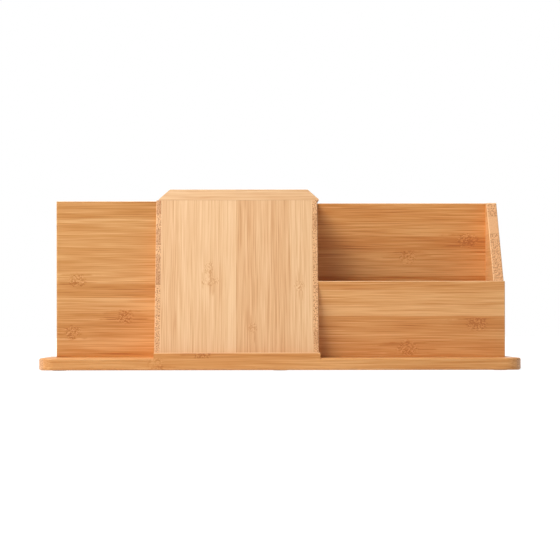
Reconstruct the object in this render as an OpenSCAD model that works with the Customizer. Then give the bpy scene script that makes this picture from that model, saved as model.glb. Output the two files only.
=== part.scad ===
// Bamboo desk organizer: two open compartments and a middle box with a lift lid.
// The middle box leans back as a rest for a phone or tablet, with a ledge at its foot.
// X runs to the right, the front faces -Y and Z is up. The origin is the middle of the
// footprint, on the surface that the organizer stands on.

/* [Base] */
// Width of the base board
base_w = 480; // [470:1:560]
// Depth of the base board
base_d = 145; // [140:1:180]
// Thickness of the base board
base_t = 12; // [11:0.5:15]
// Radius of the base board's corners, seen from above
corner_r = 15; // [5:1:30]
// Distance from the back panel to the base board's rear edge
rear_margin = 10; // [6:1:14]

/* [Panels] */
// Thickness of the upright panels
panel_t = 10.5; // [10:0.5:12]
// Width of the body that stands on the base board
body_w = 454.8; // [440:0.2:460]
// Height of the back panel, the middle box and the right end panel
upright_h = 160.2; // [150:0.1:180]
// Height of the left compartment's front and end, a little below the lid
left_h = 159.2; // [140:0.1:180]
// Height of the low front panel of the right compartment
low_front_h = 77; // [60:1:90]
// Length of level edge at the top of the right end panel
end_flat = 8.5; // [6:0.5:16]
// Radius where the right end panel's slope meets its level edge
end_round_r = 4; // [1:0.5:6]

/* [Middle box] */
// Width of the middle box over its sides
box_w = 164.2; // [150:0.2:180]
// Middle of the box, measured from the middle of the base board
box_x = -43.4; // [-60:0.1:-30]
// Lean of the device rest from upright
rest_tilt = 19; // [15:0.5:20]
// Distance from the base board's front edge to the foot of the device rest
ledge_d = 13; // [11:0.5:16]
// Height of the ledge above the base board
ledge_h = 5.3; // [4:0.1:8]
// Length of the ledge
ledge_w = 165.2; // [152:0.2:182]
// Middle of the ledge, measured from the middle of the base board
ledge_x = -42.9; // [-60:0.1:-30]

/* [Lid] */
// Width of the lid on its underside
lid_w = 163.4; // [150:0.2:178]
// Middle of the lid, measured from the middle of the base board
lid_x = -41.4; // [-60:0.1:-30]
// Thickness of the lid
lid_t = 11.2; // [10:0.1:14]
// Width of the bevel at each end of the lid
lid_bevel_w = 11.4; // [4:0.2:12]
// Height of the bevel at each end of the lid
lid_bevel_h = 10.2; // [4:0.2:11]
// Gap between the lid's underside and the panels under it
lid_gap = 0.1; // [0.1:0.1:0.6]

/* [Hinges] */
// Length of each hinge
hinge_l = 25; // [20:1:30]
// Distance from the middle of the lid to each hinge
hinge_spread = 50; // [35:1:60]
// Distance from the back panel's rear face to the hinge pin
pin_inset = 3; // [2.6:0.1:3.5]
// Outer radius of the hinge barrel
barrel_r = 2; // [1.8:0.1:2.2]
// Radius of the hinge pin
pin_r = 0.8; // [0.6:0.1:1]
// Thickness of the hinge leaves
leaf_t = 1; // [0.8:0.1:1.2]
// Slope of the two stop chamfers behind the pin
stop_slope = 47; // [45:0.5:50]

/* [Edges and pads] */
// Radius of the eased edges of the panels
arris_r = 0.8; // [0.4:0.1:1.2]
// Radius of the eased edges of the base board
base_arris_r = 1.8; // [0.5:0.1:3]
// Radius of the anti-slip pads
pad_r = 7; // [5:0.5:8]
// Height of the pads below the base board
pad_proud = 0.5; // [0.3:0.1:1]
// Depth of the pads' recesses
pad_recess = 1; // [0.5:0.1:2]

/* [Hidden] */
$fn = 48;

// Levels and planes that the panels share
base_top = pad_proud + base_t;
top_z = base_top + upright_h;
left_z = base_top + left_h;
low_z = base_top + low_front_h;
front_y = -base_d / 2;
rear_y = base_d / 2 - rear_margin;
back_y = rear_y - panel_t;
body_x = [-body_w / 2, body_w / 2];
box_sides_x = [box_x - box_w / 2, box_x + box_w / 2];
ledge_span = [ledge_x - ledge_w / 2, ledge_x + ledge_w / 2];

// The sloped face of the device rest, at a given height
function rest_y(z) = front_y + ledge_d + (z - base_top) * tan(rest_tilt);
// Level thickness of the leaning panel
rest_run = panel_t / cos(rest_tilt);
// Each front panel meets the slope at its own top edge
left_y = rest_y(left_z);
right_y = rest_y(low_z);
// The rest panel sits in rabbets half a panel deep
rabbet = panel_t / 2;

// Lid and hinge axis
lid_z = top_z + lid_gap;
lid_span = [lid_x - lid_w / 2, lid_x + lid_w / 2];
pin_y = rear_y - pin_inset;
pin_z = top_z + lid_gap / 2;
hinges_x = [lid_x - hinge_spread, lid_x + hinge_spread];
// The leaves stop short of the back panel's front face
leaf_margin = 0.6;
leaf_reach = panel_t - pin_inset - leaf_margin;
middle_knuckle_share = 0.42;
middle_knuckle = middle_knuckle_share * hinge_l;
knuckle_gap = 0.3;
swing_gap = 0.3;
pin_play = 0.05;
stop_gap = 0.1;

// Wood screws: shank radius, head radius, head height, length
hinge_screw = [0.9, 1.8, 0.9, 8];
base_screw = [1.6, 3.2, 2, 28];
head_sink = 0.4;
// Share of a screw's length that tapers to its tip, and the tip's share of the shank's radius
tip_share = 0.12;
tip_r_share = 0.25;
// Places of a hinge's screws, as shares of its length and of its leaves' reach
screw_spread_share = 0.36;
screw_reach_share = 0.68;
hinge_screws_dx = screw_spread_share * hinge_l;
hinge_screw_y = pin_y - screw_reach_share * leaf_reach;
base_screws_at = [
    for (x = [-190, -80, 80, 190]) [x, back_y + panel_t / 2],
    for (x = [-205, -150]) [x, left_y + panel_t / 2],
    for (x = [75, 130, 190]) [x, right_y + panel_t / 2],
    for (side = [0, 1], y = [-25, 30]) [box_edge_mid(side), y],
    [body_x[0] + panel_t / 2, 30],
    for (y = [-5, 32]) [body_x[1] - panel_t / 2, y]
];
function box_edge_mid(side) = box_sides_x[side] + (side == 0 ? 1 : -1) * panel_t / 2;

// Dowels: radius, depth into a board's face, depth into a board's end
dowel_r = 2;
dowel_face = 5.5;
dowel_end = 9;
// In a box side the dowels stop short of the rabbet
dowel_rabbet = rabbet - 0.25;
tall_dowels_z = [base_top + 35, base_top + 125];
low_dowels_z = [base_top + 20, base_top + 57];

// Distance of the outer pads' middles from the base board's ends and long edges
pad_inset = [20, 17];
pads_x = base_w / 2 - pad_inset[0];
pads_y = base_d / 2 - pad_inset[1];
pad_chamfer = pad_proud / 2;

// How far a cut reaches past the face that it opens
over = 1;

front_bamboo = [0.80, 0.58, 0.35];
pale_bamboo = [0.91, 0.73, 0.53];
dark_bamboo = [0.74, 0.52, 0.30];
hardwood = [0.85, 0.72, 0.52];
brass = [0.78, 0.62, 0.30];
steel = [0.70, 0.71, 0.72];
silicone = [0.86, 0.86, 0.84];

// Outlines and solids that the pieces share

// A convex outline with a radius for each corner, where 0 leaves the corner sharp: the
// corners are cut from tangent point to tangent point and filled with circles
function unit(v) = v / norm(v);
function half_angle(p, a, b) = acos(unit(a - p) * unit(b - p)) / 2;
function before(points, i) = points[(i + len(points) - 1) % len(points)];
function after(points, i) = points[(i + 1) % len(points)];
function corner_points(p, a, b, r) =
    r == 0 ? [p] : [for (q = [a, b]) p + unit(q - p) * r / tan(half_angle(p, a, b))];
module eased_polygon(points, radii) {
    polygon([
        for (i = [0:len(points) - 1])
            each corner_points(points[i], before(points, i), after(points, i), radii[i])
    ]);
    for (i = [0:len(points) - 1])
        if (radii[i] > 0) corner_circle(points[i], before(points, i), after(points, i), radii[i]);
}
module corner_circle(p, a, b, r) {
    translate(p + unit(unit(a - p) + unit(b - p)) * r / sin(half_angle(p, a, b))) circle(r);
}

// A rectangle whose corners are rounded where round_at says so, counted from x0, y0
// anticlockwise
module eased_rect(x, y, round_at, r = arris_r) {
    eased_polygon(
        [[x[0], y[0]], [x[1], y[0]], [x[1], y[1]], [x[0], y[1]]],
        [for (rounded = round_at) rounded ? r : 0]
    );
}

// Extrusions of an outline in Y and Z along X, and of one in X and Z along Y
module along_x(x) {
    translate([x[0], 0, 0]) rotate([90, 0, 90]) linear_extrude(x[1] - x[0]) children();
}
module along_y(y) {
    translate([0, y[1], 0]) rotate([90, 0, 0]) linear_extrude(y[1] - y[0]) children();
}

// A flat board with eased edges: plan, side and face say which corners of its outline
// from above, from the side and from the front are rounded
none = [false, false, false, false];
module board(x, y, z, plan = none, side = none, face = none) {
    intersection() {
        translate([0, 0, z[0]]) linear_extrude(z[1] - z[0]) eased_rect(x, y, plan);
        along_x(x) eased_rect(y, z, side);
        along_y(y) eased_rect(x, z, face);
    }
}

// All that lies behind a plane which leans back from its foot, in Y and Z, with the plane's
// two long edges eased where round_at says so: left, right
module behind_slope(x, foot, lean, round_at) {
    reach = 2 * upright_h;
    translate([0, foot[0], foot[1]]) rotate([-lean, 0, 0]) translate([0, 0, -reach])
        linear_extrude(2 * reach) eased_rect(x, [0, reach], [round_at[0], round_at[1], false, false]);
}

// A round bar along X or Y through p, reaching before and after it
module bar_x(p, before, after, r) {
    translate([p[0] - before, p[1], p[2]]) rotate([0, 90, 0]) cylinder(h = before + after, r = r);
}
module bar_y(p, before, after, r) {
    translate([p[0], p[1] + after, p[2]]) rotate([90, 0, 0]) cylinder(h = before + after, r = r);
}

// A countersunk wood screw along Z, with its head's top at the origin and its tip above
module wood_screw(s) {
    straight = s[3] * (1 - tip_share);
    cylinder(h = s[2], r1 = s[1], r2 = s[0]);
    cylinder(h = straight, r = s[0]);
    translate([0, 0, straight]) cylinder(h = s[3] - straight, r1 = s[0], r2 = s[0] * tip_r_share);
}
// The hole that such a screw leaves
module screw_hole(s, sink = 0) {
    translate([0, 0, -over]) cylinder(h = s[3] + over, r = s[0]);
    cylinder(h = s[2], r1 = s[1], r2 = s[0]);
    if (sink > 0) translate([0, 0, -sink - over]) cylinder(h = sink + over, r = s[1]);
}
module at_base_screws() {
    for (p = base_screws_at) translate([p[0], p[1], pad_proud + head_sink]) children();
}
module at_hinge_screws() {
    for (x = hinges_x, dx = [-1, 1] * hinge_screws_dx) translate([x + dx, hinge_screw_y, 0]) children();
}

// Every dowel joint: dowels along Y enter a face on their rear or front side
module dowels() {
    for (z = tall_dowels_z) {
        bar_y([body_x[0] + panel_t / 2, left_y + panel_t, z], dowel_face, dowel_end, dowel_r);
        bar_x([box_sides_x[0], left_y + panel_t / 2, z], dowel_end, dowel_rabbet, dowel_r);
        for (x = [body_x[0] + panel_t / 2, box_edge_mid(0), box_edge_mid(1), body_x[1] - panel_t / 2])
            bar_y([x, back_y, z], dowel_end, dowel_face, dowel_r);
    }
    for (z = low_dowels_z) {
        bar_y([body_x[1] - panel_t / 2, right_y + panel_t, z], dowel_face, dowel_end, dowel_r);
        bar_x([box_sides_x[1], right_y + panel_t / 2, z], dowel_rabbet, dowel_end, dowel_r);
    }
}
// An upright panel with its screw and dowel holes
module jointed() {
    difference() {
        children();
        at_base_screws() screw_hole(base_screw);
        dowels();
    }
}

// Base

// One rounded quarter of the base board's rim, with its eased edges
module rim_corner() {
    rotate_extrude(angle = 90, $fn = 96)
        eased_rect([0, corner_r], [pad_proud, base_top], [false, true, true, false], base_arris_r);
}
// Under the ledge the front edge stays square, so that the two meet in one flush face
module ledge_seat() {
    along_x(ledge_span)
        translate([front_y, base_top - base_arris_r]) square(base_arris_r);
}
module base_board() {
    w = base_w / 2;
    d = base_d / 2;
    inner_w = w - corner_r;
    inner_d = d - corner_r;
    all_round = [true, true, true, true];
    z = [pad_proud, base_top];
    color(front_bamboo)
        difference() {
            union() {
                along_x([-inner_w, inner_w]) eased_rect([-d, d], z, all_round, base_arris_r);
                along_y([-inner_d, inner_d]) eased_rect([-w, w], z, all_round, base_arris_r);
                translate([inner_w, inner_d, 0]) rim_corner();
                translate([-inner_w, inner_d, 0]) rotate(90) rim_corner();
                translate([-inner_w, -inner_d, 0]) rotate(180) rim_corner();
                translate([inner_w, -inner_d, 0]) rotate(270) rim_corner();
                ledge_seat();
            }
            at_base_screws() screw_hole(base_screw, head_sink);
            for (x = [-pads_x, 0, pads_x], y = [-pads_y, pads_y])
                translate([x, y, 0]) cylinder(h = pad_proud + pad_recess, r = pad_r);
        }
}
module foot_pad(x, y) {
    color(silicone)
        translate([x, y, 0]) {
            translate([0, 0, pad_chamfer]) cylinder(h = pad_proud + pad_recess - pad_chamfer, r = pad_r);
            cylinder(h = pad_chamfer, r1 = pad_r - pad_chamfer, r2 = pad_r);
        }
}
module base_screws() {
    color(steel) at_base_screws() wood_screw(base_screw);
}
module panel_dowels() {
    color(hardwood) dowels();
}

// Back panel, with the seat of the fixed hinge leaves and the lid's stop chamfer

// The wedge behind the hinge pin, on the side that up gives: 1 for the lid, -1 for the panel
module stop_wedge(up, x) {
    reach = pin_inset + over;
    rise = (reach + stop_gap) * tan(stop_slope);
    translate([0, pin_y, pin_z])
        along_x(x) polygon([[-stop_gap, 0], [reach, 0], [reach, up * rise]]);
}
// The groove round the hinge barrels, in the panel as in the lid
module barrel_grooves() {
    for (x = hinges_x)
        bar_x([x, pin_y, pin_z], hinge_l / 2 + knuckle_gap, hinge_l / 2 + knuckle_gap, barrel_r + swing_gap);
}
module leaf_seats(z, h) {
    for (x = hinges_x)
        translate([x - hinge_l / 2, pin_y - leaf_reach, z]) cube([hinge_l, leaf_reach, h]);
}
module back_panel() {
    color(dark_bamboo)
        difference() {
            jointed() board(body_x, [back_y, rear_y], [base_top, top_z],
                            plan = [false, false, true, true], side = [true, true, true, true],
                            face = [false, false, true, true]);
            stop_wedge(-1, lid_span + [-over, over]);
            barrel_grooves();
            leaf_seats(top_z - leaf_t, leaf_t + over);
            translate([0, 0, top_z]) at_hinge_screws() mirror([0, 0, 1]) screw_hole(hinge_screw);
        }
}

// Left compartment

module left_front_panel() {
    color(front_bamboo)
        jointed() board([body_x[0], box_sides_x[0]], [left_y, left_y + panel_t], [base_top, left_z],
                        plan = [true, false, false, false], side = [true, false, true, true],
                        face = [false, false, false, true]);
}
module left_end_panel() {
    color(front_bamboo)
        jointed() board([body_x[0], body_x[0] + panel_t], [left_y + panel_t, back_y], [base_top, left_z],
                        face = [false, false, true, true]);
}

// Middle box

// A box side: its sloped front edge is eased on the outside, and on the inside it is stepped
// back behind the rest panel. The rabbet is on the side that inward gives: 1 where the box
// lies to the right, -1 to the left
module box_side(x0, inward) {
    x = [x0, x0 + panel_t];
    half_x = inward > 0 ? [x0, x0 + rabbet] : [x0 + rabbet, x0 + panel_t];
    color(pale_bamboo)
        jointed() intersection() {
            union() {
                along_x(half_x) side_outline(0);
                along_x(x) side_outline(rest_run);
            }
            behind_slope(x, [rest_y(base_top), base_top], rest_tilt, [inward > 0, inward < 0]);
        }
}
module side_outline(set_back) {
    polygon([
        [rest_y(base_top) + set_back, base_top], [back_y, base_top],
        [back_y, top_z], [rest_y(top_z) + set_back, top_z]
    ]);
}
module box_left_side() {
    box_side(box_sides_x[0], 1);
}
module box_right_side() {
    box_side(box_sides_x[1] - panel_t, -1);
}
module device_rest_panel() {
    color(pale_bamboo)
        along_x([box_sides_x[0] + rabbet, box_sides_x[1] - rabbet])
            polygon([
                [rest_y(base_top), base_top], [rest_y(base_top) + rest_run, base_top],
                [rest_y(top_z) + rest_run, top_z], [rest_y(top_z), top_z]
            ]);
}
module rest_ledge() {
    z = [base_top, base_top + ledge_h];
    round_r = 1;
    color(front_bamboo)
        intersection() {
            along_x(ledge_span) eased_polygon(
                [[front_y, z[0]], [rest_y(z[0]), z[0]], [rest_y(z[1]), z[1]], [front_y, z[1]]],
                [0, 0, 0, round_r]
            );
            along_y([front_y, 0]) eased_rect(ledge_span, z, [false, false, true, true]);
        }
}

// Right compartment

module right_front_panel() {
    color(front_bamboo)
        jointed() board([box_sides_x[1], body_x[1]], [right_y, right_y + panel_t], [base_top, low_z],
                        plan = [false, true, false, false], side = [true, false, true, true],
                        face = [false, false, true, false]);
}
// The right end panel slopes from the top of the low front panel to the back panel
module right_end_panel() {
    x = [body_x[1] - panel_t, body_x[1]];
    foot = [right_y + panel_t, low_z];
    knee = [back_y - end_flat, top_z];
    color(front_bamboo)
        jointed() intersection() {
            along_x(x) eased_polygon(
                [[foot[0], base_top], [back_y, base_top], [back_y, top_z], knee, foot],
                [0, 0, 0, end_round_r, 0]
            );
            behind_slope(x, foot, atan2(knee[0] - foot[0], knee[1] - foot[1]), [true, true]);
            along_y([foot[0], back_y]) eased_rect(x, [base_top, top_z], [false, false, true, true]);
        }
}

// Lid, bevelled at both ends, with its front edge in line with the device rest

module lid_board() {
    x = lid_span;
    z = [lid_z, lid_z + lid_t];
    r = arris_r;
    color(pale_bamboo)
        difference() {
            intersection() {
                along_y([front_y, rear_y]) eased_polygon([
                    [x[0], z[0]], [x[1], z[0]], [x[1], z[1] - lid_bevel_h], [x[1] - lid_bevel_w, z[1]],
                    [x[0] + lid_bevel_w, z[1]], [x[0], z[1] - lid_bevel_h]
                ], [0, 0, r, r, r, r]);
                along_x(x) eased_polygon(
                    [[rest_y(z[0]), z[0]], [rear_y, z[0]], [rear_y, z[1]], [rest_y(z[1]), z[1]]],
                    [0, 0, r, r]
                );
            }
            stop_wedge(1, x + [-over, over]);
            barrel_grooves();
            leaf_seats(lid_z - over, leaf_t + over);
            translate([0, 0, lid_z]) at_hinge_screws() screw_hole(hinge_screw);
        }
}

// Hinges: each has a fixed leaf with the outer knuckles and a lid leaf with the middle one

module leaf_plate(x, z, reach_x) {
    translate([x - hinge_l / 2, pin_y - leaf_reach, z])
        cube([hinge_l, leaf_reach - barrel_r - swing_gap, leaf_t]);
    for (span = reach_x)
        translate([x + span[0], pin_y - leaf_reach, z]) cube([span[1] - span[0], leaf_reach, leaf_t]);
}
module hinge_fixed_leaf(x) {
    inner = middle_knuckle / 2 + knuckle_gap;
    outer = hinge_l / 2;
    color(brass)
        difference() {
            union() {
                leaf_plate(x, top_z - leaf_t, [[-outer, -inner], [inner, outer]]);
                bar_x([x, pin_y, pin_z], outer, -inner, barrel_r);
                bar_x([x, pin_y, pin_z], -inner, outer, barrel_r);
            }
            bar_x([x, pin_y, pin_z], outer + over, outer + over, pin_r);
            translate([0, 0, top_z]) at_hinge_screws() mirror([0, 0, 1]) screw_hole(hinge_screw);
        }
}
module hinge_lid_leaf(x) {
    half = middle_knuckle / 2;
    color(brass)
        difference() {
            union() {
                leaf_plate(x, lid_z, [[-half, half]]);
                bar_x([x, pin_y, pin_z], half, half, barrel_r);
            }
            bar_x([x, pin_y, pin_z], half + over, half + over, pin_r + pin_play);
            translate([0, 0, lid_z]) at_hinge_screws() screw_hole(hinge_screw);
        }
}
module hinge_pin(x) {
    color(steel) bar_x([x, pin_y, pin_z], hinge_l / 2, hinge_l / 2, pin_r);
}
module hinge_screws_fixed() {
    color(brass) translate([0, 0, top_z]) at_hinge_screws() mirror([0, 0, 1]) wood_screw(hinge_screw);
}
module hinge_screws_lid() {
    color(brass) translate([0, 0, lid_z]) at_hinge_screws() wood_screw(hinge_screw);
}

base_board();
back_panel();
left_front_panel();
left_end_panel();
box_left_side();
box_right_side();
device_rest_panel();
rest_ledge();
right_front_panel();
right_end_panel();
lid_board();
hinge_fixed_leaf(hinges_x[0]);  // left_hinge_fixed_leaf
hinge_lid_leaf(hinges_x[0]);  // left_hinge_lid_leaf
hinge_pin(hinges_x[0]);  // left_hinge_pin
hinge_fixed_leaf(hinges_x[1]);  // right_hinge_fixed_leaf
hinge_lid_leaf(hinges_x[1]);  // right_hinge_lid_leaf
hinge_pin(hinges_x[1]);  // right_hinge_pin
hinge_screws_fixed();
hinge_screws_lid();
base_screws();
panel_dowels();
foot_pad(-pads_x, -pads_y);  // pad_front_left
foot_pad(0, -pads_y);  // pad_front_middle
foot_pad(pads_x, -pads_y);  // pad_front_right
foot_pad(-pads_x, pads_y);  // pad_rear_left
foot_pad(0, pads_y);  // pad_rear_middle
foot_pad(pads_x, pads_y);  // pad_rear_right
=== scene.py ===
"""Looks, light and camera for a desk organizer of laminated bamboo with a lift lid.

The boards come from the frame. Every board is dressed as strips of bamboo glued side by
side under a satin varnish, with its own grain direction, strip tones and cane nodes. The
wood screws are modelled anew, with a cross recess and a thread.
"""
import logging
import math
import random
from dataclasses import dataclass, field
from enum import Enum
from typing import Any

import bpy
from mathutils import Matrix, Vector


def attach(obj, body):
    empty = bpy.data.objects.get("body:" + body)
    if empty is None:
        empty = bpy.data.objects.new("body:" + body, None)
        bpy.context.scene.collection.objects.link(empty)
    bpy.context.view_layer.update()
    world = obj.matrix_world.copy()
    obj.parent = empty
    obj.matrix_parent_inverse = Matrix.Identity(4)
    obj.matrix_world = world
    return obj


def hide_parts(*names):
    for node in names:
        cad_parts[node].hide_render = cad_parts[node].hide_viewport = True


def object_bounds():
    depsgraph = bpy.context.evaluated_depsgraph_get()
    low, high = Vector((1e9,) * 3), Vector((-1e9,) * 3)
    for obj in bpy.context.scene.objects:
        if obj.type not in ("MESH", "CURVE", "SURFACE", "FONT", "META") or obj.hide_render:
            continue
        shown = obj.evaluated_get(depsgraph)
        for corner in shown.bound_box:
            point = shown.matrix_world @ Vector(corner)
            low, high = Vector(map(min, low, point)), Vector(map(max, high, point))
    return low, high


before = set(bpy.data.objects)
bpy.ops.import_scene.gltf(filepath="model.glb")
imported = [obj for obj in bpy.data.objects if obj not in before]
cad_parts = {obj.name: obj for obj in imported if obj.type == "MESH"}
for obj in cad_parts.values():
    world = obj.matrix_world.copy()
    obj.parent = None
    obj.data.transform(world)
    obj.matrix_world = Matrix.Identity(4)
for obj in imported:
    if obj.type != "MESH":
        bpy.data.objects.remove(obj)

CAD_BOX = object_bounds()
LOG = logging.getLogger("organizer")

MM = 0.001
Socket = bpy.types.NodeSocket
Tree = bpy.types.NodeTree
Colour = tuple[float, float, float, float]


def linear(hex_colour: str) -> Colour:
    """Turn an sRGB hex colour into the linear RGBA that shaders take.

    Args:
        hex_colour: six hexadecimal digits, such as "d79c65".

    Returns:
        Linear red, green and blue with an alpha of 1.
    """
    channels = [int(hex_colour[i:i + 2], 16) / 255 for i in (0, 2, 4)]
    straight = [c / 12.92 if c <= 0.04045 else ((c + 0.055) / 1.055) ** 2.4 for c in channels]
    return (*straight, 1.0)


def add_node(tree: Tree, kind: str, inputs: dict[Any, Any] | None = None, **settings: Any) -> bpy.types.Node:
    """Add one node with its settings, values and links.

    Args:
        tree: the node tree that the node goes into.
        kind: the node's type name.
        inputs: socket name or number to a value, or to the output socket that feeds it.
        **settings: attributes of the node itself, such as operation.

    Returns:
        The new node.
    """
    node = tree.nodes.new(kind)
    for name, value in settings.items():
        setattr(node, name, value)
    for key, value in (inputs or {}).items():
        if isinstance(value, bpy.types.NodeSocket):
            tree.links.new(value, node.inputs[key])
        else:
            node.inputs[key].default_value = value
    return node


def calc(tree: Tree, operation: str, *values: Any) -> Socket:
    """One arithmetic step on sockets or numbers, and its result."""
    return add_node(tree, "ShaderNodeMath", dict(enumerate(values)), operation=operation).outputs[0]


def ramp_range(tree: Tree, value: Any, start: float, end: float, low: float = 0.0,
               high: float = 1.0) -> Socket:
    """A smooth step of value from low at start to high at end.

    Args:
        tree: the node tree.
        value: what is stepped.
        start: the value at which the step begins.
        end: the value at which it is done.
        low: the result before the step.
        high: the result after it.

    Returns:
        The stepped value.
    """
    node = add_node(tree, "ShaderNodeMapRange", {0: value, 1: start, 2: end, 3: low, 4: high},
                    interpolation_type="SMOOTHSTEP")
    return node.outputs[0]


def ramp_linear(tree: Tree, value: Any, start: float, end: float) -> Socket:
    """Value's place between start and end, as 0 to 1."""
    return add_node(tree, "ShaderNodeMapRange", {0: value, 1: start, 2: end}).outputs[0]


def blend(tree: Tree, share: Any, first: Any, second: Any) -> Socket:
    """Two colours mixed, by the share of the second."""
    node = add_node(tree, "ShaderNodeMix", {0: share, 6: first, 7: second}, data_type="RGBA")
    return node.outputs[2]


def new_material(name: str) -> tuple[bpy.types.Material, Tree]:
    """An empty node material and its tree.

    Args:
        name: the material's name.

    Returns:
        The material and its node tree.
    """
    material = bpy.data.materials.new(name)
    material.use_nodes = True
    material.node_tree.nodes.clear()
    return material, material.node_tree


class Grain(Enum):
    """Which way a board's strips run, and how they lie side by side.

    Each value names the axes along the grain, across the strips and through the board,
    after the board has been turned upright by its tilt.
    """

    LEVEL_UPRIGHT = ("X", "Z", "Y")
    LEVEL_FLAT = ("X", "Y", "Z")
    FRONT_TO_BACK = ("Y", "Z", "X")
    UPRIGHT = ("Z", "X", "Y")


@dataclass(frozen=True)
class Strip:
    """One strip of bamboo: where it starts across the board, in millimetres, and its tone.

    A tone of 0 is the deepest and 1 the palest that the board's batch has.
    """

    edge: float
    tone: float


@dataclass(frozen=True)
class Knot:
    """A node of the cane, where the fibres cross: its middle and its size in millimetres."""

    along: float
    across: float
    length: float = 15.0
    height: float = 12.5
    depth: float = 1.0


@dataclass(frozen=True)
class BambooTone:
    """The colours of one batch of varnished bamboo strips, as sRGB hex."""

    pale: str
    middle: str
    dark: str
    deep: str
    end_ground: str
    end_dots: str
    # edge: a pale colour painted along the eased edges as a highlight
    edge: str


# Steamed bamboo under a clear varnish: a warm honey colour with orange streaks
HONEY = BambooTone("e8b277", "d79959", "c98441", "b2682d", "e4ac78", "a6652d", "fbdcae")
# The same, slightly cooler and darker in red: partly the board's own tone, partly painted shade that tones
# down the stronger light on the left front panel
COOL_HONEY = BambooTone("e2b177", "d19759", "c38441", "ad682d", "dfaa76", "a66b32", "f6dcae")
# The same, deeper orange and brighter in red: partly the board's own tone, partly painted light that lifts
# the compartment's shade on the back panel
DEEP_HONEY = BambooTone("ecb06e", "dc9852", "ce833c", "b66729", "e2aa76", "ab6b32", "fbd9a6")
# Natural bamboo from the cane's inner wall: paler, with soft tan streaks
NATURAL = BambooTone("e5bd8f", "dcaf7f", "d3a06f", "c58e58", "e0ad7b", "9e6029", "f6d3a6")


def even_strips(start: float, end: float, width: float, seed: int) -> tuple[Strip, ...]:
    """Strips of nearly one width with tones of their own, for a board whose strips don't show.

    Args:
        start: where the first strip starts, in millimetres.
        end: where the last one ends.
        width: the strips' mean width.
        seed: what the widths and tones are drawn from.

    Returns:
        The strips in order.
    """
    draw = random.Random(seed)
    count = round((end - start) / width)
    return tuple(Strip(start + (i + draw.uniform(-0.1, 0.1) * (i > 0)) * width, draw.uniform(0.3, 0.8))
                 for i in range(count))


# Sizes of bamboo's marks in millimetres: along the grain, across it and through the board
FINE_STREAKS = (38, 0.6, 0.7)
STREAKS = (75, 1.8, 2.0)
SINGLE_FIBRES = (55, 0.9, 1.0)
CLOUDS = (140, 6, 6)
NODE_OUTLINE = (6, 3, 6)
NODE_MARKS = (2.0, 1.2, 3)
NODE_SWIRL = (4, 5, 9)
# How far the fibres swirl aside in a node, and how much longer its flames are than its core
SWIRL_MM = 9.0
FLAME_STRETCH = 3.0
# The glue line is drawn wider than it is, and bundles of 0.5 mm at 1.5 mm, or they wouldn't show
GLUE_LINE_MM = 0.6
BUNDLE_MM = 1.5
# Every strip's fibres are shifted along by this times its number, so that no two are alike
STRIP_SHIFT_MM = 977.0
# Level of noise at which a mark starts and is full, and what it adds to the tone there
DARK_FIBRES = (0.58, 0.68, -0.28)
PALE_FIBRES = (0.42, 0.32, 0.24)
FLAMES = (0.5, 0.66, -0.5)
# Tones from deepest to palest at which the batch's dark and middle colours stand
DARK_STOP, MIDDLE_STOP = 0.3, 0.62


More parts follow.
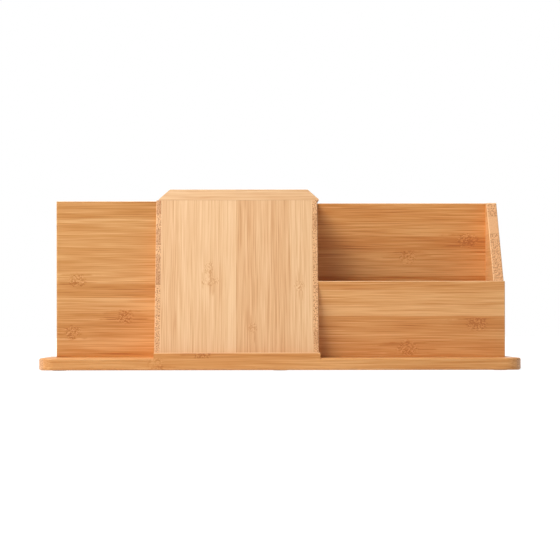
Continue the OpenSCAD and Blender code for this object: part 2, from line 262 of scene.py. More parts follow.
@dataclass(frozen=True)
class LaminatedBamboo:
    """Laminated bamboo board, planed, sanded and varnished.

    The strips give bands of slightly different tone with fine streaks of fibre along them.
    The nodes of the cane show as mottled patches with flames of darker fibre beside them.
    Cut ends show the fibre bundles as dots. The varnish gives a soft, even sheen.
    """

    name: str
    grain: Grain
    tone: BambooTone
    seed: float
    strips: tuple[Strip, ...]
    tilt_deg: float = 0.0
    knots: tuple[Knot, ...] = ()
    line_depth: float = 0.8
    band_depth: float = 1.0
    edge_highlight_share: float = 0.6

    def material(self) -> bpy.types.Material:
        """Build the node material.

        Returns:
            The material, which reads object coordinates in millimetres.
        """
        material, tree = new_material(self.name)
        coords = add_node(tree, "ShaderNodeTexCoord")
        along, across, through = self._axes(tree, coords.outputs["Object"])
        tone, strip_id = self._strip_at(tree, across)
        seam = self._seam(tree, across)
        own_along = calc(tree, "MULTIPLY_ADD", strip_id, STRIP_SHIFT_MM, along)
        mask, flames, marks, bent = self._knots(tree, along, across, through)
        fine, level = self._fibres(tree, (own_along, bent, through), tone, flames)
        face = self._face_colour(tree, level, seam, mask, marks)
        # Painted highlight: eased edges are mixed toward the pale edge colour, standing in for the light
        # that they catch
        edge_highlight = calc(tree, "MULTIPLY", self._painted_edge_highlight(tree, coords.outputs["Normal"]), self.edge_highlight_share)
        face = blend(tree, edge_highlight, face, linear(self.tone.edge))
        ends, dots = self._end_grain(tree, across, through, tone, seam)
        on_end = self._end_mask(tree, coords.outputs["Normal"])
        height = add_node(tree, "ShaderNodeMix", {0: on_end, 2: fine, 3: dots}).outputs[0]
        bump = add_node(tree, "ShaderNodeBump", {"Height": height, "Strength": 0.1, "Distance": 0.1 * MM})
        shader = add_node(tree, "ShaderNodeBsdfPrincipled", {
            "Base Color": blend(tree, on_end, face, ends),
            "Roughness": ramp_range(tree, fine, 0.3, 0.7, 0.42, 0.54),
            "Normal": bump.outputs[0], "IOR": 1.48, "Coat Weight": 0.1, "Coat Roughness": 0.35,
        })
        add_node(tree, "ShaderNodeOutputMaterial", {"Surface": shader.outputs[0]})
        return material

    def _axes(self, tree: Tree, coords: Socket) -> tuple[Socket, Socket, Socket]:
        """Turn object coordinates into millimetres along, across and through the board.

        Args:
            tree: the node tree.
            coords: the object coordinates, in metres.

        Returns:
            The places along the grain, across the strips and through the board.
        """
        turned = add_node(tree, "ShaderNodeMapping", {
            "Vector": coords, "Rotation": (math.radians(self.tilt_deg), 0, 0),
            "Scale": (1 / MM, 1 / MM, 1 / MM),
        })
        split = add_node(tree, "ShaderNodeSeparateXYZ", {0: turned.outputs[0]})
        return tuple(split.outputs[axis] for axis in self.grain.value)

    def _strip_at(self, tree: Tree, across: Socket) -> tuple[Socket, Socket]:
        """The tone of the strip at a place across the board, and a number of its own.

        Args:
            tree: the node tree.
            across: the place across the strips, in millimetres.

        Returns:
            The strip's tone, and a number from 0 to 1 that differs from its neighbours'.
        """
        first, last = self.strips[0].edge, self.strips[-1].edge
        span = (last - first) * 1.001 + 1
        ramp = add_node(tree, "ShaderNodeValToRGB", {0: ramp_linear(tree, across, first, first + span)})
        ramp.color_ramp.interpolation = "CONSTANT"
        stops = ramp.color_ramp.elements
        while len(stops) < len(self.strips):
            stops.new(1.0)
        while len(stops) > len(self.strips):
            stops.remove(stops[-1])
        for i, strip in enumerate(self.strips):
            stops[i].position = (strip.edge - first) / span
            stops[i].color = (strip.tone, (i * 0.37) % 1, 0, 1)
        split = add_node(tree, "ShaderNodeSeparateColor", {0: ramp.outputs[0]})
        return split.outputs[0], split.outputs[1]

    def _seam(self, tree: Tree, across: Socket) -> Socket:
        """1 on the glue line between two strips, 0 elsewhere.

        Args:
            tree: the node tree.
            across: the place across the strips, in millimetres.

        Returns:
            Whether a strip ends within half a glue line.
        """
        before = self._strip_at(tree, calc(tree, "ADD", across, -GLUE_LINE_MM / 2))[1]
        after = self._strip_at(tree, calc(tree, "ADD", across, GLUE_LINE_MM / 2))[1]
        step = calc(tree, "ABSOLUTE", calc(tree, "SUBTRACT", before, after))
        return calc(tree, "GREATER_THAN", step, 0.001)

    def _noise(self, tree: Tree, parts: tuple[Socket, Socket, Socket],
               scales: tuple[float, float, float], detail: float, roughness: float = 0.5,
               distortion: float = 0.0) -> Socket:
        """Noise from 0 to 1 whose grains measure the given millimetres along each direction.

        Args:
            tree: the node tree.
            parts: the place, in millimetres.
            scales: the grains' sizes, in millimetres.
            detail: how many finer layers are added.
            roughness: how strong each finer layer is.
            distortion: how much the grains are bent.

        Returns:
            The noise.
        """
        vector = add_node(tree, "ShaderNodeCombineXYZ", dict(enumerate(parts)))
        scaled = add_node(tree, "ShaderNodeVectorMath", {
            0: vector.outputs[0], 1: tuple(1 / s for s in scales),
        }, operation="MULTIPLY")
        noise = add_node(tree, "ShaderNodeTexNoise", {
            "Vector": scaled.outputs[0], "W": self.seed, "Scale": 1.0, "Detail": detail,
            "Roughness": roughness, "Distortion": distortion,
        }, noise_dimensions="4D")
        return noise.outputs["Fac"]

    def _fibres(self, tree: Tree, place: tuple[Socket, Socket, Socket], tone: Socket,
                flames: Socket) -> tuple[Socket, Socket]:
        """Fine streaks of fibre along the strips, and the level of colour that they lead to.

        Args:
            tree: the node tree.
            place: the place along, across and through the board, in millimetres.
            tone: the strip's tone.
            flames: how much of a flame of darker fibre there is.

        Returns:
            The fine streaks, and the level of tone.
        """
        fine = self._noise(tree, place, FINE_STREAKS, 1.0, 0.6)
        medium = self._noise(tree, place, STREAKS, 1.0)
        lines = self._noise(tree, place, SINGLE_FIBRES, 0.0)
        broad = self._noise(tree, place, CLOUDS, 0.0)
        level = tone
        shares = (self.line_depth, 0.75 * self.band_depth, 0.4 * self.band_depth)
        for noise, share in zip((fine, medium, broad), shares):
            level = calc(tree, "MULTIPLY_ADD", calc(tree, "SUBTRACT", noise, 0.5), share, level)
        # Single fibres stand out as thin dark or pale lines
        for start, full, lift in (DARK_FIBRES, PALE_FIBRES):
            line = ramp_range(tree, lines, start, full, 0.0, lift * self.line_depth)
            level = calc(tree, "ADD", level, line)
        # Beside a node the streaks turn into darker flames
        start, full, lift = FLAMES
        flame = calc(tree, "MULTIPLY", flames, ramp_range(tree, medium, start, full, 0.0, lift))
        return fine, calc(tree, "ADD", level, flame)

    def _knots(self, tree: Tree, along: Socket, across: Socket,
               through: Socket) -> tuple[Any, Any, Socket, Any]:
        """The cane's nodes: their cores, their flames, the marks in them and the bent fibres.

        Args:
            tree: the node tree.
            along: the place along the grain, in millimetres.
            across: the place across the strips.
            through: the place through the board.

        Returns:
            How much of a core and of a flame there is, a noise of short marks, and the place
            across the board with the fibres bent aside.
        """
        place = (along, across, through)
        ragged = self._noise(tree, place, NODE_OUTLINE, 2.0)
        mask: Any = 0.0
        flames: Any = 0.0
        for knot in self.knots:
            du = calc(tree, "SUBTRACT", along, knot.along)
            dv = calc(tree, "DIVIDE", calc(tree, "SUBTRACT", across, knot.across), knot.height / 2)
            for stretch, is_core in ((1.0, True), (FLAME_STRETCH, False)):
                u = calc(tree, "DIVIDE", du, knot.length / 2 * stretch)
                reach = calc(tree, "SQRT", calc(tree, "ADD", calc(tree, "POWER", u, 2.0),
                                                calc(tree, "POWER", dv, 2.0)))
                # The noise adds 0.45 on the average and makes the outline ragged
                reach = calc(tree, "MULTIPLY_ADD", ragged, 0.9, reach)
                spot = ramp_range(tree, reach, 1.85, 1.25, 0.0, knot.depth)
                if is_core:
                    mask = calc(tree, "MAXIMUM", mask, spot)
                else:
                    flames = calc(tree, "MAXIMUM", flames, spot)
        marks = self._noise(tree, place, NODE_MARKS, 1.0, 0.6, 0.7)
        swirl = calc(tree, "SUBTRACT", self._noise(tree, place, NODE_SWIRL, 1.0), 0.5)
        bent = calc(tree, "MULTIPLY_ADD", calc(tree, "MULTIPLY", swirl, SWIRL_MM), mask, across)
        return mask, flames, marks, bent

    def _face_colour(self, tree: Tree, level: Socket, seam: Socket, mask: Any, marks: Socket) -> Socket:
        """The colour of a long face, from the level of tone, the glue lines and the nodes.

        Args:
            tree: the node tree.
            level: the strips' level of tone.
            seam: 1 on a glue line.
            mask: how much of a node's core there is.
            marks: the noise of short marks in a node.

        Returns:
            The colour.
        """
        level = calc(tree, "MULTIPLY_ADD", seam, -0.12, level)
        # In a node, pale gaps between short dark marks
        lift = ramp_range(tree, marks, 0.44, 0.6, 0.12, -0.42)
        level = calc(tree, "ADD", level, calc(tree, "MULTIPLY", mask, lift))
        ramp = add_node(tree, "ShaderNodeValToRGB", {0: level})
        stops = ramp.color_ramp.elements
        stops[0].position, stops[0].color = 0.0, linear(self.tone.deep)
        stops[1].position, stops[1].color = 1.0, linear(self.tone.pale)
        stops.new(DARK_STOP).color = linear(self.tone.dark)
        stops.new(MIDDLE_STOP).color = linear(self.tone.middle)
        return ramp.outputs[0]

    def _end_grain(self, tree: Tree, across: Socket, through: Socket, tone: Socket,
                   seam: Socket) -> tuple[Socket, Socket]:
        """The colour of a cut end, with its fibre bundles seen end on, and where they stand.

        Args:
            tree: the node tree.
            across: the place across the strips, in millimetres.
            through: the place through the board.
            tone: the strip's tone.
            seam: 1 on a glue line.

        Returns:
            The colour, and 1 on a bundle and 0 between them.
        """
        place = add_node(tree, "ShaderNodeCombineXYZ", {0: across, 1: through})
        cells = add_node(tree, "ShaderNodeTexVoronoi", {"Vector": place.outputs[0], "Scale": 1 / BUNDLE_MM},
                         voronoi_dimensions="2D")
        dots = ramp_range(tree, cells.outputs["Distance"], 0.46, 0.3)
        speck = add_node(tree, "ShaderNodeSeparateColor", {0: cells.outputs["Color"]}).outputs[0]
        # A dark strip has a darker ground between its bundles
        pale = ramp_range(tree, tone, 0.1, 0.6)
        ground = blend(tree, pale, linear(self.tone.end_dots), linear(self.tone.end_ground))
        # A pale strip is cut from the cane's inner wall, where the bundles stand far apart
        dense = ramp_range(tree, tone, 0.9, 0.98, 1.0, 0.2)
        share = calc(tree, "MULTIPLY", calc(tree, "MULTIPLY", dots, dense),
                     calc(tree, "MULTIPLY_ADD", speck, 0.7, 0.3))
        share = calc(tree, "MAXIMUM", share, calc(tree, "MULTIPLY", seam, 0.5))
        return blend(tree, share, ground, linear(self.tone.end_dots)), dots

    def _painted_edge_highlight(self, tree: Tree, normal: Socket) -> Socket:
        """1 on the eased edges, where a painted highlight in a pale colour goes, 0 on the faces.

        Args:
            tree: the node tree.
            normal: the normal in object coordinates.

        Returns:
            How much of an eased edge there is.
        """
        size = add_node(tree, "ShaderNodeVectorMath", {0: normal}, operation="ABSOLUTE")
        parts = add_node(tree, "ShaderNodeSeparateXYZ", {0: size.outputs[0]}).outputs
        largest = calc(tree, "MAXIMUM", calc(tree, "MAXIMUM", parts[0], parts[1]), parts[2])
        return ramp_range(tree, largest, 0.93, 0.86)

    def _end_mask(self, tree: Tree, normal: Socket) -> Socket:
        """1 on the faces that the grain runs into, 0 on those that it runs along.

        Args:
            tree: the node tree.
            normal: the normal in object coordinates.

        Returns:
            How much of a cut end there is.
        """
        tilt = math.radians(self.tilt_deg)
        leans = {"X": (1, 0, 0), "Y": (0, 1, 0), "Z": (0, math.sin(tilt), math.cos(tilt))}
        lean = leans[self.grain.value[0]]
        facing = add_node(tree, "ShaderNodeVectorMath", {0: normal, 1: lean}, operation="DOT_PRODUCT")
        return ramp_range(tree, calc(tree, "ABSOLUTE", facing.outputs["Value"]), 0.6, 0.72)


@dataclass(frozen=True)
class BrushedBrass:
    """Rolled brass sheet, brushed: a soft yellow gleam with fine lines along the hinge."""

    name: str = "brushed_brass"
    colour: str = "c4ab78"
    line_mm: float = 0.25

    def material(self) -> bpy.types.Material:
        """Build the node material.

        Returns:
            A metal whose roughness and bump follow lines along X.
        """
        material, tree = new_material(self.name)
        coords = add_node(tree, "ShaderNodeTexCoord")
        scaled = add_node(tree, "ShaderNodeMapping", {
            "Vector": coords.outputs["Object"],
            "Scale": (1 / (8 * MM), 1 / (self.line_mm * MM), 1 / (self.line_mm * MM)),
        })
        lines = add_node(tree, "ShaderNodeTexNoise", {"Vector": scaled.outputs[0], "Scale": 1.0,
                                                      "Detail": 2.0})
        bump = add_node(tree, "ShaderNodeBump", {"Height": lines.outputs["Fac"], "Strength": 0.15,
                                                 "Distance": 0.05 * MM})
        shader = add_node(tree, "ShaderNodeBsdfPrincipled", {
            "Base Color": linear(self.colour), "Metallic": 1.0,
            "Roughness": ramp_range(tree, lines.outputs["Fac"], 0.3, 0.7, 0.24, 0.42),
            "Normal": bump.outputs[0],
        })
        add_node(tree, "ShaderNodeOutputMaterial", {"Surface": shader.outputs[0]})
        return material


@dataclass(frozen=True)
class ZincSteel(BrushedBrass):
    """Zinc-plated steel wire and screws: a cool grey gleam, slightly uneven from the plating."""

    name: str = "zinc_plated_steel"
    colour: str = "b9bcc0"
    line_mm: float = 0.4


@dataclass(frozen=True)
class MattSilicone:
    """Moulded clear-white silicone: a dull, slightly milky face with a fine moulded grain."""

    name: str = "matt_silicone"
    colour: str = "dcdad2"
    grain_mm: float = 0.35

    def material(self) -> bpy.types.Material:
        """Build the node material.

        Returns:
            A rubbery plastic with a fine bump.
        """
        material, tree = new_material(self.name)
        coords = add_node(tree, "ShaderNodeTexCoord")
        grain = add_node(tree, "ShaderNodeTexNoise", {
            "Vector": coords.outputs["Object"], "Scale": 1 / (self.grain_mm * MM), "Detail": 2.0,
        }).outputs["Fac"]
        bump = add_node(tree, "ShaderNodeBump", {"Height": grain, "Strength": 0.3, "Distance": 0.05 * MM})
        shader = add_node(tree, "ShaderNodeBsdfPrincipled", {
            "Base Color": linear(self.colour), "Roughness": ramp_range(tree, grain, 0.3, 0.7, 0.5, 0.68),
            "Normal": bump.outputs[0], "IOR": 1.41,
        })
        add_node(tree, "ShaderNodeOutputMaterial", {"Surface": shader.outputs[0]})
        return material


def dress(nodes: tuple[str, ...], material: bpy.types.Material) -> None:
    """Give CAD nodes one material.

    Args:
        nodes: names of the nodes.
        material: the material that they get.
    """
    for name in nodes:
        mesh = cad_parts[name].data
        mesh.materials.clear()
        mesh.materials.append(material)
        LOG.info("dressed %s in %s", name, material.name)


class Shade(Enum):
    """How pale a strip looks among its neighbours, in five steps."""

    DARK = 0.4
    MEDIUM = 0.55
    LIGHT = 0.7
    PALE = 0.85
    WHITE = 1.0


def strips(*pairs: tuple[float, Shade]) -> tuple[Strip, ...]:
    """Strips from pairs of edge and shade."""
    return tuple(Strip(edge, shade.value) for edge, shade in pairs)


@dataclass
class Boards:
    """The bamboo boards, each with the grain, strip tones and cane nodes of its own."""

    rest_tilt_deg: float = 19.0
    finishes: dict[str, LaminatedBamboo] = field(default_factory=dict)

    def __post_init__(self) -> None:
        """List what each board is made of."""
        level, flat = Grain.LEVEL_UPRIGHT, Grain.LEVEL_FLAT
        side, upright = Grain.FRONT_TO_BACK, Grain.UPRIGHT
        dark, medium, light, pale, white = Shade
        self.finishes = {
            "base_board": LaminatedBamboo(
                "bamboo_base", flat, HONEY, 1.0,
                strips((-75, medium)) + even_strips(-55, 73, 14, 1),
                knots=(Knot(-124, -68, depth=0.7), Knot(92, -30), Knot(-60, 30), Knot(170, 52)),
                line_depth=0.6, edge_highlight_share=0.0),
            # Partly painted light, through the brighter red colours
            "back_panel": LaminatedBamboo(
                "bamboo_back", level, DEEP_HONEY, 2.0,
                # The strip from 96 mm, the lowest seen above the right front panel, is lighter than its
                # neighbours and is made paler still as painted light that lifts the compartment's shade
                # there
                even_strips(12, 96, 14, 2) + strips((96, pale), (112, light), (124, dark), (137, light),
                                                    (150, medium), (163, medium)),
                knots=(Knot(198, 134, 20), Knot(135, 116), Knot(-60, 60), Knot(-170, 120)),
                line_depth=1.1, band_depth=1.2),
            # Partly painted shade, through the darker red colours
            "left_front_panel": LaminatedBamboo(
                "bamboo_left_front", level, COOL_HONEY, 3.0,
                strips((12, dark), (18.5, light), (32.5, medium), (46.5, medium), (59.5, light), (73, dark),
                       (87.5, light), (99.5, medium), (113.5, medium), (127, medium), (140.5, medium),
                       (154, dark), (167.5, medium)),
                knots=(Knot(-206, 91), Knot(-158, 54), Knot(-211, 38))),
            "left_end_panel": LaminatedBamboo(
                "bamboo_left_end", side, HONEY, 4.0, even_strips(12, 174, 13.6, 4),
                knots=(Knot(20, 92),)),
            "box_left_side": LaminatedBamboo(
                "bamboo_box_left", side, NATURAL, 5.0, even_strips(12, 174, 14.5, 5),
                knots=(Knot(10, 60),)),
            "box_right_side": LaminatedBamboo(
                "bamboo_box_right", side, NATURAL, 6.0, even_strips(12, 174, 14.5, 6),
                knots=(Knot(-5, 110),)),
            "device_rest_panel": LaminatedBamboo(
                "bamboo_rest", upright, NATURAL, 7.0,
                strips((-121, medium), (-102.5, light), (-84, light), (-66, light), (-53, pale),
                       (-44.5, dark), (-23, medium), (-9, dark), (10, light), (26, light)),
                tilt_deg=self.rest_tilt_deg, line_depth=1.1, band_depth=0.6,
                knots=(Knot(88, -72, 12, 9), Knot(74, -70, 9, 16), Knot(24, -27, 9, 8),
                       Knot(69, 20, 10, 9))),
            "rest_ledge": LaminatedBamboo(
                "bamboo_ledge", flat, HONEY, 8.0, strips((-75, dark), (-62, medium)),
                knots=(Knot(-77, -70, 14, 12),)),
            "right_front_panel": LaminatedBamboo(
                "bamboo_right_front", level, HONEY, 9.0,
                strips((12, medium), (26, medium), (41, dark), (54, pale), (65.5, light), (80.5, medium)),
                knots=(Knot(199, 46, 18), Knot(129, 22, 18))),
            "right_end_panel": LaminatedBamboo(
                "bamboo_right_end", side, HONEY, 10.0,
                even_strips(12, 93, 14, 10) + strips((93, pale), (107, light), (121, pale), (139, white),
                                                     (158, medium), (163, pale)),
                knots=(Knot(30, 60),)),
            "lid_board": LaminatedBamboo(
                "bamboo_lid", flat, NATURAL, 11.0, strips((-6, medium)) + even_strips(12, 66, 13.6, 11),
                knots=(Knot(-20, 30),), line_depth=1.0, band_depth=0.6),
        }

    def build(self) -> None:
        """Dress every board."""
        for node, finish in self.finishes.items():
            dress((node,), finish.material())


@dataclass
class Fittings:
    """Hinges, dowels and pads."""

    leaves: tuple[str, ...] = ("left_hinge_fixed_leaf", "left_hinge_lid_leaf",
                               "right_hinge_fixed_leaf", "right_hinge_lid_leaf")
    pins: tuple[str, ...] = ("left_hinge_pin", "right_hinge_pin")
    pads: tuple[str, ...] = tuple(
        f"pad_{row}_{place}" for row in ("front", "rear") for place in ("left", "middle", "right"))

    def build(self) -> None:
        """Dress the metal, the dowels and the pads."""
        dress(self.leaves, BrushedBrass().material())
        dress(self.pins, ZincSteel().material())
        dress(self.pads, MattSilicone().material())
        beech = LaminatedBamboo("beech_dowels", Grain.LEVEL_UPRIGHT, NATURAL, 12.0,
                                even_strips(0, 180, 60, 12))
        dress(("panel_dowels",), beech.material())


@dataclass(frozen=True)
class WoodScrew:
    """Sizes of a countersunk wood screw with a cross recess, in millimetres.

    The shares are of the shank's radius (core), the core's radius (tip), the whole length
    (tip_length), the head's height (neck, slot_depth), the head's radius (slot_length,
    slot_width), the slot's own length and width (slot_taper), and the straight part of the
    core (thread_start, thread_end).
    """

    radius: float
    head_radius: float
    head_height: float
    length: float
    pitch: float
    core: float = 0.72
    tip: float = 0.25
    tip_length: float = 0.12
    neck: float = 0.1
    slot_length: float = 1.25
    slot_width: float = 0.3
    slot_depth: float = 1.3
    slot_taper: tuple[float, float] = (0.45, 0.7)
    thread_start: float = 0.35
    thread_end: float = 0.95


class Points(Enum):
    """Which way a screw's tip points, as a turn about X."""

    UP = 0.0
    DOWN = math.pi


@dataclass
class ScrewGroup:
    """Screws of one kind that stand for one CAD node, each with a cross recess and a thread."""

    node: str
    body: str
    slot: str
    finish: BrushedBrass
    screw: WoodScrew
    points: Points
    places: tuple[tuple[float, float, float], ...]

    def build(self) -> None:
        """Model one screw, copy it to every place and join the copies."""
        pattern = self._screw()
        copies = []
        for place in self.places:
            self._pick([pattern])
            bpy.ops.object.duplicate(linked=False)
            copy = bpy.context.object
            copy.rotation_euler.x = self.points.value
            copy.location = Vector(place) * MM
            copies.append(copy)
        bpy.data.objects.remove(pattern)
        self._pick(copies)
        bpy.ops.object.join()
        bpy.ops.object.transform_apply(location=True, rotation=True, scale=True)
        piece = bpy.context.object
        piece.name = f"{self.node}_cross_recess"
        bpy.ops.object.mode_set(mode="EDIT")
        bpy.ops.mesh.select_all(action="SELECT")
        bpy.ops.mesh.normals_make_consistent(inside=False)
        bpy.ops.object.mode_set(mode="OBJECT")
        bpy.ops.object.shade_smooth_by_angle(angle=math.radians(30))
        piece.data.materials.clear()
        piece.data.materials.append(self.finish.material())
        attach(piece, self.body)
        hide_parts(self.node)
        LOG.info("modelled %d screws for %s", len(copies), self.node)

    @staticmethod
    def _pick(pieces: list[bpy.types.Object]) -> None:
        """Select just these objects, the first of them active.

        Args:
            pieces: the objects.
        """
        bpy.ops.object.select_all(action="DESELECT")
        for piece in pieces:
            piece.select_set(True)
        bpy.context.view_layer.objects.active = pieces[0]

    def _end_face(self, piece: bpy.types.Object, top: bool) -> None:
        """Select the cap at one end of a turned piece, in edit mode.

        Args:
            piece: the object, the active one.
            top: whether it is the upper cap.
        """
        bpy.ops.object.mode_set(mode="OBJECT")
        mesh = piece.data
        for part in (mesh.vertices, mesh.edges, mesh.polygons):
            part.foreach_set("select", [False] * len(part))
        caps = [face for face in mesh.polygons if abs(face.normal.z) > 0.99]
        max(caps, key=lambda face: face.center.z if top else -face.center.z).select = True
        bpy.ops.object.mode_set(mode="EDIT")
        bpy.ops.mesh.select_mode(type="FACE")

    def _draw_out(self, piece: bpy.types.Object, top: bool, rise: float, widen: float) -> None:
        """Extrude an end cap and scale the new one about the axis.

        Args:
            piece: the object, the active one.
            top: whether it is the upper cap.
            rise: how far the new cap goes up, in metres.
            widen: the new cap's size as a share of the old one's.
        """
        self._end_face(piece, top)
        bpy.ops.mesh.extrude_region_move(TRANSFORM_OT_translate={"value": (0, 0, rise)})
        bpy.ops.transform.resize(value=(widen, widen, 1), center_override=(0, 0, 0))

    def _screw(self) -> bpy.types.Object:
        """One screw along Z with its head's top at the origin and its tip above it.

        Returns:
            The screw, with its recess and thread.
        """
        screw = self.screw
        radius, height = screw.radius * MM, screw.head_height * MM
        core = radius * screw.core
        tip = screw.length * screw.tip_length * MM
        straight = screw.length * MM - tip - height
        bpy.ops.object.select_all(action="DESELECT")
        bpy.ops.mesh.primitive_cylinder_add(vertices=24, radius=core, depth=straight,
                                            location=(0, 0, height + straight / 2))
        piece = bpy.context.object
        bpy.ops.object.transform_apply(location=True)
        self._draw_out(piece, False, -screw.neck * height, radius / core)
        self._draw_out(piece, False, (screw.neck - 1) * height, screw.head_radius / screw.radius)
        self._draw_out(piece, True, tip, screw.tip)
        bpy.ops.object.mode_set(mode="OBJECT")
        for turn in (0.0, math.pi / 2):
            self._cut_slot(piece, turn)
        thread = self._thread(core, radius, height + straight * screw.thread_start,
                              height + straight * screw.thread_end)
        self._pick([piece, thread])
        bpy.ops.object.join()
        return bpy.context.object

    def _cut_slot(self, piece: bpy.types.Object, turn: float) -> None:
        """Cut one bar of the cross recess, which narrows with its depth.

        Args:
            piece: the screw.
            turn: which way the bar lies, as an angle about Z in radians.
        """
        screw = self.screw
        length, width = screw.slot_length * screw.head_radius, screw.slot_width * screw.head_radius
        depth = screw.slot_depth * screw.head_height
        bpy.ops.object.select_all(action="DESELECT")
        bpy.ops.mesh.primitive_cube_add(size=1, location=(0, 0, 0))
        cutter = bpy.context.object
        cutter.scale = (length * MM, width * MM, depth * MM)
        bpy.ops.object.transform_apply(scale=True)
        self._end_face(cutter, True)
        bpy.ops.transform.resize(value=(*screw.slot_taper, 1), center_override=(0, 0, 0))
        bpy.ops.object.mode_set(mode="OBJECT")
        cutter.rotation_euler.z = turn
        self._pick([piece])
        cut = piece.modifiers.new("recess", "BOOLEAN")
        cut.operation, cut.solver, cut.object = "DIFFERENCE", "EXACT", cutter
        bpy.ops.object.modifier_apply(modifier=cut.name)
        bpy.data.objects.remove(cutter)

    def _thread(self, core: float, crest: float, start: float, end: float) -> bpy.types.Object:
        """A ridge wound round the core: a triangle swept along a helix.

        Args:
            core: the core's radius, in metres.
            crest: the ridge's outer radius.
            start: the height at which it starts.
            end: the height at which it ends.

        Returns:
            The ridge.
        """
        bpy.ops.object.select_all(action="DESELECT")
        bpy.ops.mesh.primitive_circle_add(vertices=3, radius=(crest - core) / 1.5, fill_type="NOTHING",
                                          location=(core + (crest - core) / 3, 0, start),
                                          rotation=(math.pi / 2, math.pi / 2, 0))
        ridge = bpy.context.object
        bpy.ops.object.transform_apply(location=True, rotation=True)
        wind = ridge.modifiers.new("thread", "SCREW")
        wind.screw_offset = self.screw.pitch * MM
        wind.iterations = max(2, int((end - start) / (self.screw.pitch * MM)))
        wind.steps = wind.render_steps = 16
        bpy.ops.object.modifier_apply(modifier=wind.name)
        return ridge


def screw_groups() -> list[ScrewGroup]:
    """The base screws and the screws of both hinge leaves, at their places in millimetres.

    Returns:
        The three groups.
    """
    small = WoodScrew(0.9, 1.8, 0.9, 8, 0.8)
    large = WoodScrew(1.6, 3.2, 2.0, 28, 1.6)
    hinge_xs, hinge_y = (-100.4, -82.4, -0.4, 17.6), 54.81
    seats = [(x, 57.25) for x in (-190, -80, 80, 190)] + [(x, 0.57) for x in (-205, -150)]
    seats += [(x, -27.74) for x in (75, 130, 190)] + [(x, y) for x in (-120.25, 33.45) for y in (-25, 30)]
    seats += [(-222.15, 30), (222.15, -5), (222.15, 32)]
    return [
        ScrewGroup("base_screws", "body", "steel", ZincSteel(), large, Points.UP,
                   tuple((x, y, 0.9) for x, y in seats)),
        ScrewGroup("hinge_screws_fixed", "body", "brass", BrushedBrass(), small, Points.DOWN,
                   tuple((x, hinge_y, 172.7) for x in hinge_xs)),
        ScrewGroup("hinge_screws_lid", "lid", "brass", BrushedBrass(), small, Points.UP,
                   tuple((x, hinge_y, 172.8) for x in hinge_xs)),
    ]


@dataclass(frozen=True)
class Lamp:
    """A square lamp that looks at the object.

    Azimuth is in degrees to the right of the front, seen from the object, elevation in
    degrees above the floor, size the lamp's side in metres, and watts its power.
    """

    name: str
    azimuth: float
    elevation: float
    size: float
    watts: float


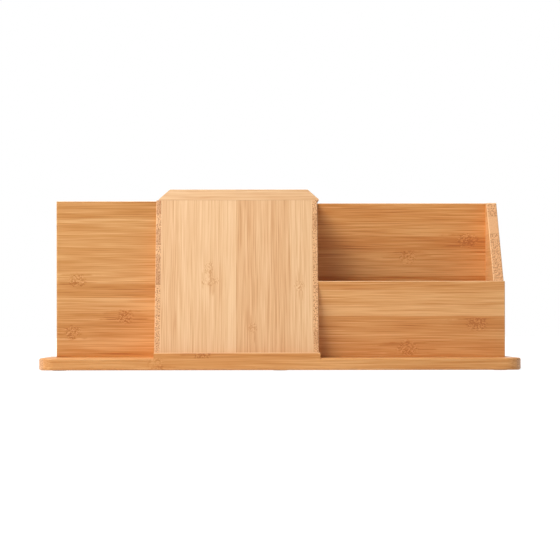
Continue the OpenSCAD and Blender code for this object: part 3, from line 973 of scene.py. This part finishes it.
@dataclass
class Studio:
    """Floor, light and camera.

    The floor glows a little and turns fully white between shade_from and white_from, in
    metres from the object, so that it keeps the shadow but shows no horizon.
    """

    camera_x: float = -29.3 * MM
    camera_height: float = 44.0 * MM
    camera_distance: float = 2158.4 * MM
    pixels_per_mm: float = 1.01
    frame_px: float = 560.0
    sight_px: tuple[float, float] = (250.8, 326.25)
    roll_deg: float = 0.07
    sensor: float = 36.0
    lamp_distance: float = 2.0
    aim_height: float = 0.08
    lamps: tuple[Lamp, ...] = (Lamp("key", -49, 53, 1.2, 46), Lamp("side", -75, 15, 1.0, 8),
                               Lamp("fill", 60, 15, 1.0, 3), Lamp("behind", 170, 45, 1.0, 10))
    floor_size: float = 12.0
    floor_glow: float = 1.25
    floor_white: float = 0.75
    shade_from: float = 0.4
    white_from: float = 1.6
    world_light: float = 0.04

    def build(self) -> None:
        """Make the camera first, then the floor and the light."""
        self._camera()
        self._floor()
        self._world()
        for lamp in self.lamps:
            self._area(lamp)
        bpy.context.scene.view_settings.view_transform = "Standard"

    def _camera(self) -> None:
        """A level camera at the photograph's height, with a long lens."""
        data = bpy.data.cameras.new("photo_camera")
        camera = bpy.data.objects.new("photo_camera", data)
        bpy.context.scene.collection.objects.link(camera)
        focal_px = self.pixels_per_mm * self.camera_distance / MM
        data.sensor_width = self.sensor
        data.lens = focal_px / self.frame_px * self.sensor
        data.shift_y = (self.sight_px[1] - self.frame_px / 2) / self.frame_px
        data.clip_start, data.clip_end = 0.05, 50
        low, _ = CAD_BOX
        camera.location = (self.camera_x, low[1] - self.camera_distance, self.camera_height)
        turn = math.atan((self.frame_px / 2 - self.sight_px[0]) / focal_px)
        camera.rotation_euler = (math.pi / 2, math.radians(self.roll_deg), -turn)
        bpy.context.scene.camera = camera

    def _floor(self) -> None:
        """A white floor that keeps a faint shadow and otherwise meets the background unseen."""
        bpy.ops.object.select_all(action="DESELECT")
        bpy.ops.mesh.primitive_plane_add(size=self.floor_size, location=(0, 0, 0))
        floor = bpy.context.object
        floor.name = "floor"
        material, tree = new_material("white_floor")
        paper = add_node(tree, "ShaderNodeBsdfDiffuse", {"Color": linear("f4f3f0")})
        glow = add_node(tree, "ShaderNodeEmission", {"Strength": self.floor_glow})
        coords = add_node(tree, "ShaderNodeTexCoord")
        distance = add_node(tree, "ShaderNodeVectorMath", {0: coords.outputs["Object"]}, operation="LENGTH")
        white = ramp_range(tree, distance.outputs["Value"], self.shade_from, self.white_from,
                           self.floor_white, 1.0)
        rays = add_node(tree, "ShaderNodeLightPath")
        seen = calc(tree, "MAXIMUM", rays.outputs["Is Camera Ray"], rays.outputs["Is Glossy Ray"])
        mix = add_node(tree, "ShaderNodeMixShader", {
            0: calc(tree, "MULTIPLY", seen, white), 1: paper.outputs[0], 2: glow.outputs[0]})
        add_node(tree, "ShaderNodeOutputMaterial", {"Surface": mix.outputs[0]})
        floor.data.materials.append(material)

    def _world(self) -> None:
        """White behind the object and in its reflections, and a soft grey that lights it."""
        world = bpy.data.worlds.new("studio")
        world.use_nodes = True
        tree = world.node_tree
        tree.nodes.clear()
        rays = add_node(tree, "ShaderNodeLightPath").outputs
        seen = calc(tree, "MAXIMUM", rays["Is Camera Ray"], rays["Is Glossy Ray"])
        seen = calc(tree, "MAXIMUM", seen, rays["Is Transmission Ray"])
        soft = add_node(tree, "ShaderNodeBackground", {"Color": (1, 1, 1, 1), "Strength": self.world_light})
        white = add_node(tree, "ShaderNodeBackground", {"Color": (1, 1, 1, 1), "Strength": 1.0})
        mix = add_node(tree, "ShaderNodeMixShader", {0: seen, 1: soft.outputs[0], 2: white.outputs[0]})
        add_node(tree, "ShaderNodeOutputWorld", {"Surface": mix.outputs[0]})
        bpy.context.scene.world = world

    def _area(self, lamp: Lamp) -> None:
        """Hang one lamp and turn it to the object's middle.

        Args:
            lamp: which lamp.
        """
        data = bpy.data.lights.new(lamp.name, "AREA")
        data.size, data.energy = lamp.size, lamp.watts
        hung = bpy.data.objects.new(lamp.name, data)
        bpy.context.scene.collection.objects.link(hung)
        turn, rise = math.radians(lamp.azimuth), math.radians(lamp.elevation)
        aim = Vector((-math.sin(turn) * math.cos(rise), math.cos(turn) * math.cos(rise), -math.sin(rise)))
        hung.location = Vector((0, 0, self.aim_height)) - self.lamp_distance * aim
        hung.rotation_euler = aim.to_track_quat("-Z", "Y").to_euler()


def main() -> None:
    """Build the studio, the boards, the fittings and the screws, and report each."""
    logging.basicConfig(level=logging.INFO, format="%(message)s")
    for part in (Studio(), Boards(), Fittings(), *screw_groups()):
        part.build()
        LOG.info("built %s", type(part).__name__)


if __name__ == "__main__":
    main()
